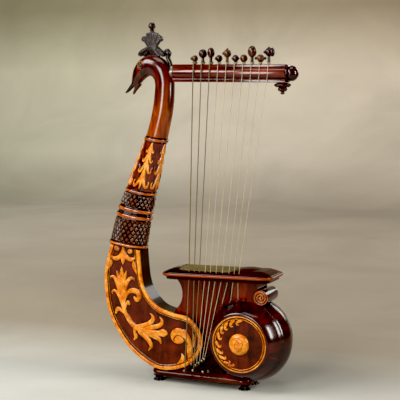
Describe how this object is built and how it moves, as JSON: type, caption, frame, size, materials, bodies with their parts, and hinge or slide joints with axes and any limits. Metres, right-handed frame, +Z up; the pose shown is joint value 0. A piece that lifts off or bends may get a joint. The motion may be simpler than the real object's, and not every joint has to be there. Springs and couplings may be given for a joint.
{
  "type": "lyre",
  "caption": "Arched swan-neck lyre with a carved crescent arm, turned neck, crossbar with tuning pegs, taut strings, moulded soundbox and a round turned drum on small feet.",
  "frame": {"origin": "middle of the floor box of the whole instrument, on the surface that its feet stand on", "axes": "+Z up, the longest extent; +X along the crossbar towards its free end; +Y from the carved front to the back, the shortest extent"},
  "size_m": [0.3976, 0.135, 0.7025],
  "materials": {
    "mahogany": "polished dark red mahogany with visible grain",
    "ebonised_wood": "near-black polished wood",
    "gilded_wood": "worn orange-gold carved wood",
    "red_panel": "polished red-brown panel",
    "woven_mesh": "woven olive-gold mesh",
    "pegs": "turned dark wood, polished",
    "strings": "twisted gut strings",
    "hitch_pins": "aged brass pins in a dark block"
  },
  "bodies": {
    "root": {"back_panel": "red_panel", "bar_end_knob": "mahogany", "base_plinth": "mahogany", "carved_arm": "mahogany", "crest": "ebonised_wood", "crest_finial": "ebonised_wood", "crest_scroll": "ebonised_wood", "crossbar": "mahogany", "diamond_sleeve_lower": "ebonised_wood", "diamond_sleeve_upper": "ebonised_wood", "drum_boss_back": "gilded_wood", "drum_boss_front": "gilded_wood", "drum_cap_back": "gilded_wood", "drum_cap_front": "gilded_wood", "drum_shell": "mahogany", "foot_1": "ebonised_wood", "foot_2": "ebonised_wood", "foot_3": "ebonised_wood", "foot_4": "ebonised_wood", "front_panel": "red_panel", "heel_block": "red_panel", "hitch_block": "hitch_pins", "leaf_section": "mahogany", "left_rib": "red_panel", "neck_collar": "gilded_wood", "neck_ring_lower": "gilded_wood", "neck_ring_middle_lower": "gilded_wood", "neck_ring_middle_upper": "gilded_wood", "neck_ring_upper": "gilded_wood", "neck_shaft": "mahogany", "pendant_finial": "ebonised_wood", "shoulder_block": "red_panel", "string_1": "strings", "string_10": "strings", "string_2": "strings", "string_3": "strings", "string_4": "strings", "string_5": "strings", "string_6": "strings", "string_7": "strings", "string_8": "strings", "string_9": "strings", "swan_head": "mahogany", "top_plate": "ebonised_wood", "treble_hitch_rail": "hitch_pins", "volute_roll": "ebonised_wood", "woven_panel": "woven_mesh"},
    "peg_1": {"tuning_peg_1": "pegs"},
    "peg_2": {"tuning_peg_2": "pegs"},
    "peg_3": {"tuning_peg_3": "pegs"},
    "peg_4": {"tuning_peg_4": "pegs"},
    "peg_5": {"tuning_peg_5": "pegs"},
    "peg_6": {"tuning_peg_6": "pegs"},
    "peg_7": {"tuning_peg_7": "pegs"},
    "peg_8": {"tuning_peg_8": "pegs"},
    "peg_9": {"tuning_peg_9": "pegs"},
    "peg_10": {"tuning_peg_10": "pegs"}
  },
  "joints": [
    {"name": "peg_1_turn", "type": "hinge", "parent": "root", "child": "peg_1", "pos_m": [-0.0092, -0.02, 0.622], "axis": [0, 0, 1], "continuous": true},
    {"name": "peg_2_turn", "type": "hinge", "parent": "root", "child": "peg_2", "pos_m": [0.00752, -0.02, 0.622], "axis": [0, 0, 1], "continuous": true},
    {"name": "peg_3_turn", "type": "hinge", "parent": "root", "child": "peg_3", "pos_m": [0.02424, -0.02, 0.622], "axis": [0, 0, 1], "continuous": true},
    {"name": "peg_4_turn", "type": "hinge", "parent": "root", "child": "peg_4", "pos_m": [0.04096, -0.02, 0.622], "axis": [0, 0, 1], "continuous": true},
    {"name": "peg_5_turn", "type": "hinge", "parent": "root", "child": "peg_5", "pos_m": [0.05768, -0.02, 0.622], "axis": [0, 0, 1], "continuous": true},
    {"name": "peg_6_turn", "type": "hinge", "parent": "root", "child": "peg_6", "pos_m": [0.0744, -0.02, 0.622], "axis": [0, 0, 1], "continuous": true},
    {"name": "peg_7_turn", "type": "hinge", "parent": "root", "child": "peg_7", "pos_m": [0.09112, -0.02, 0.622], "axis": [0, 0, 1], "continuous": true},
    {"name": "peg_8_turn", "type": "hinge", "parent": "root", "child": "peg_8", "pos_m": [0.10784, -0.02, 0.622], "axis": [0, 0, 1], "continuous": true},
    {"name": "peg_9_turn", "type": "hinge", "parent": "root", "child": "peg_9", "pos_m": [0.12456, -0.02, 0.622], "axis": [0, 0, 1], "continuous": true},
    {"name": "peg_10_turn", "type": "hinge", "parent": "root", "child": "peg_10", "pos_m": [0.14128, -0.02, 0.622], "axis": [0, 0, 1], "continuous": true}
  ]
}
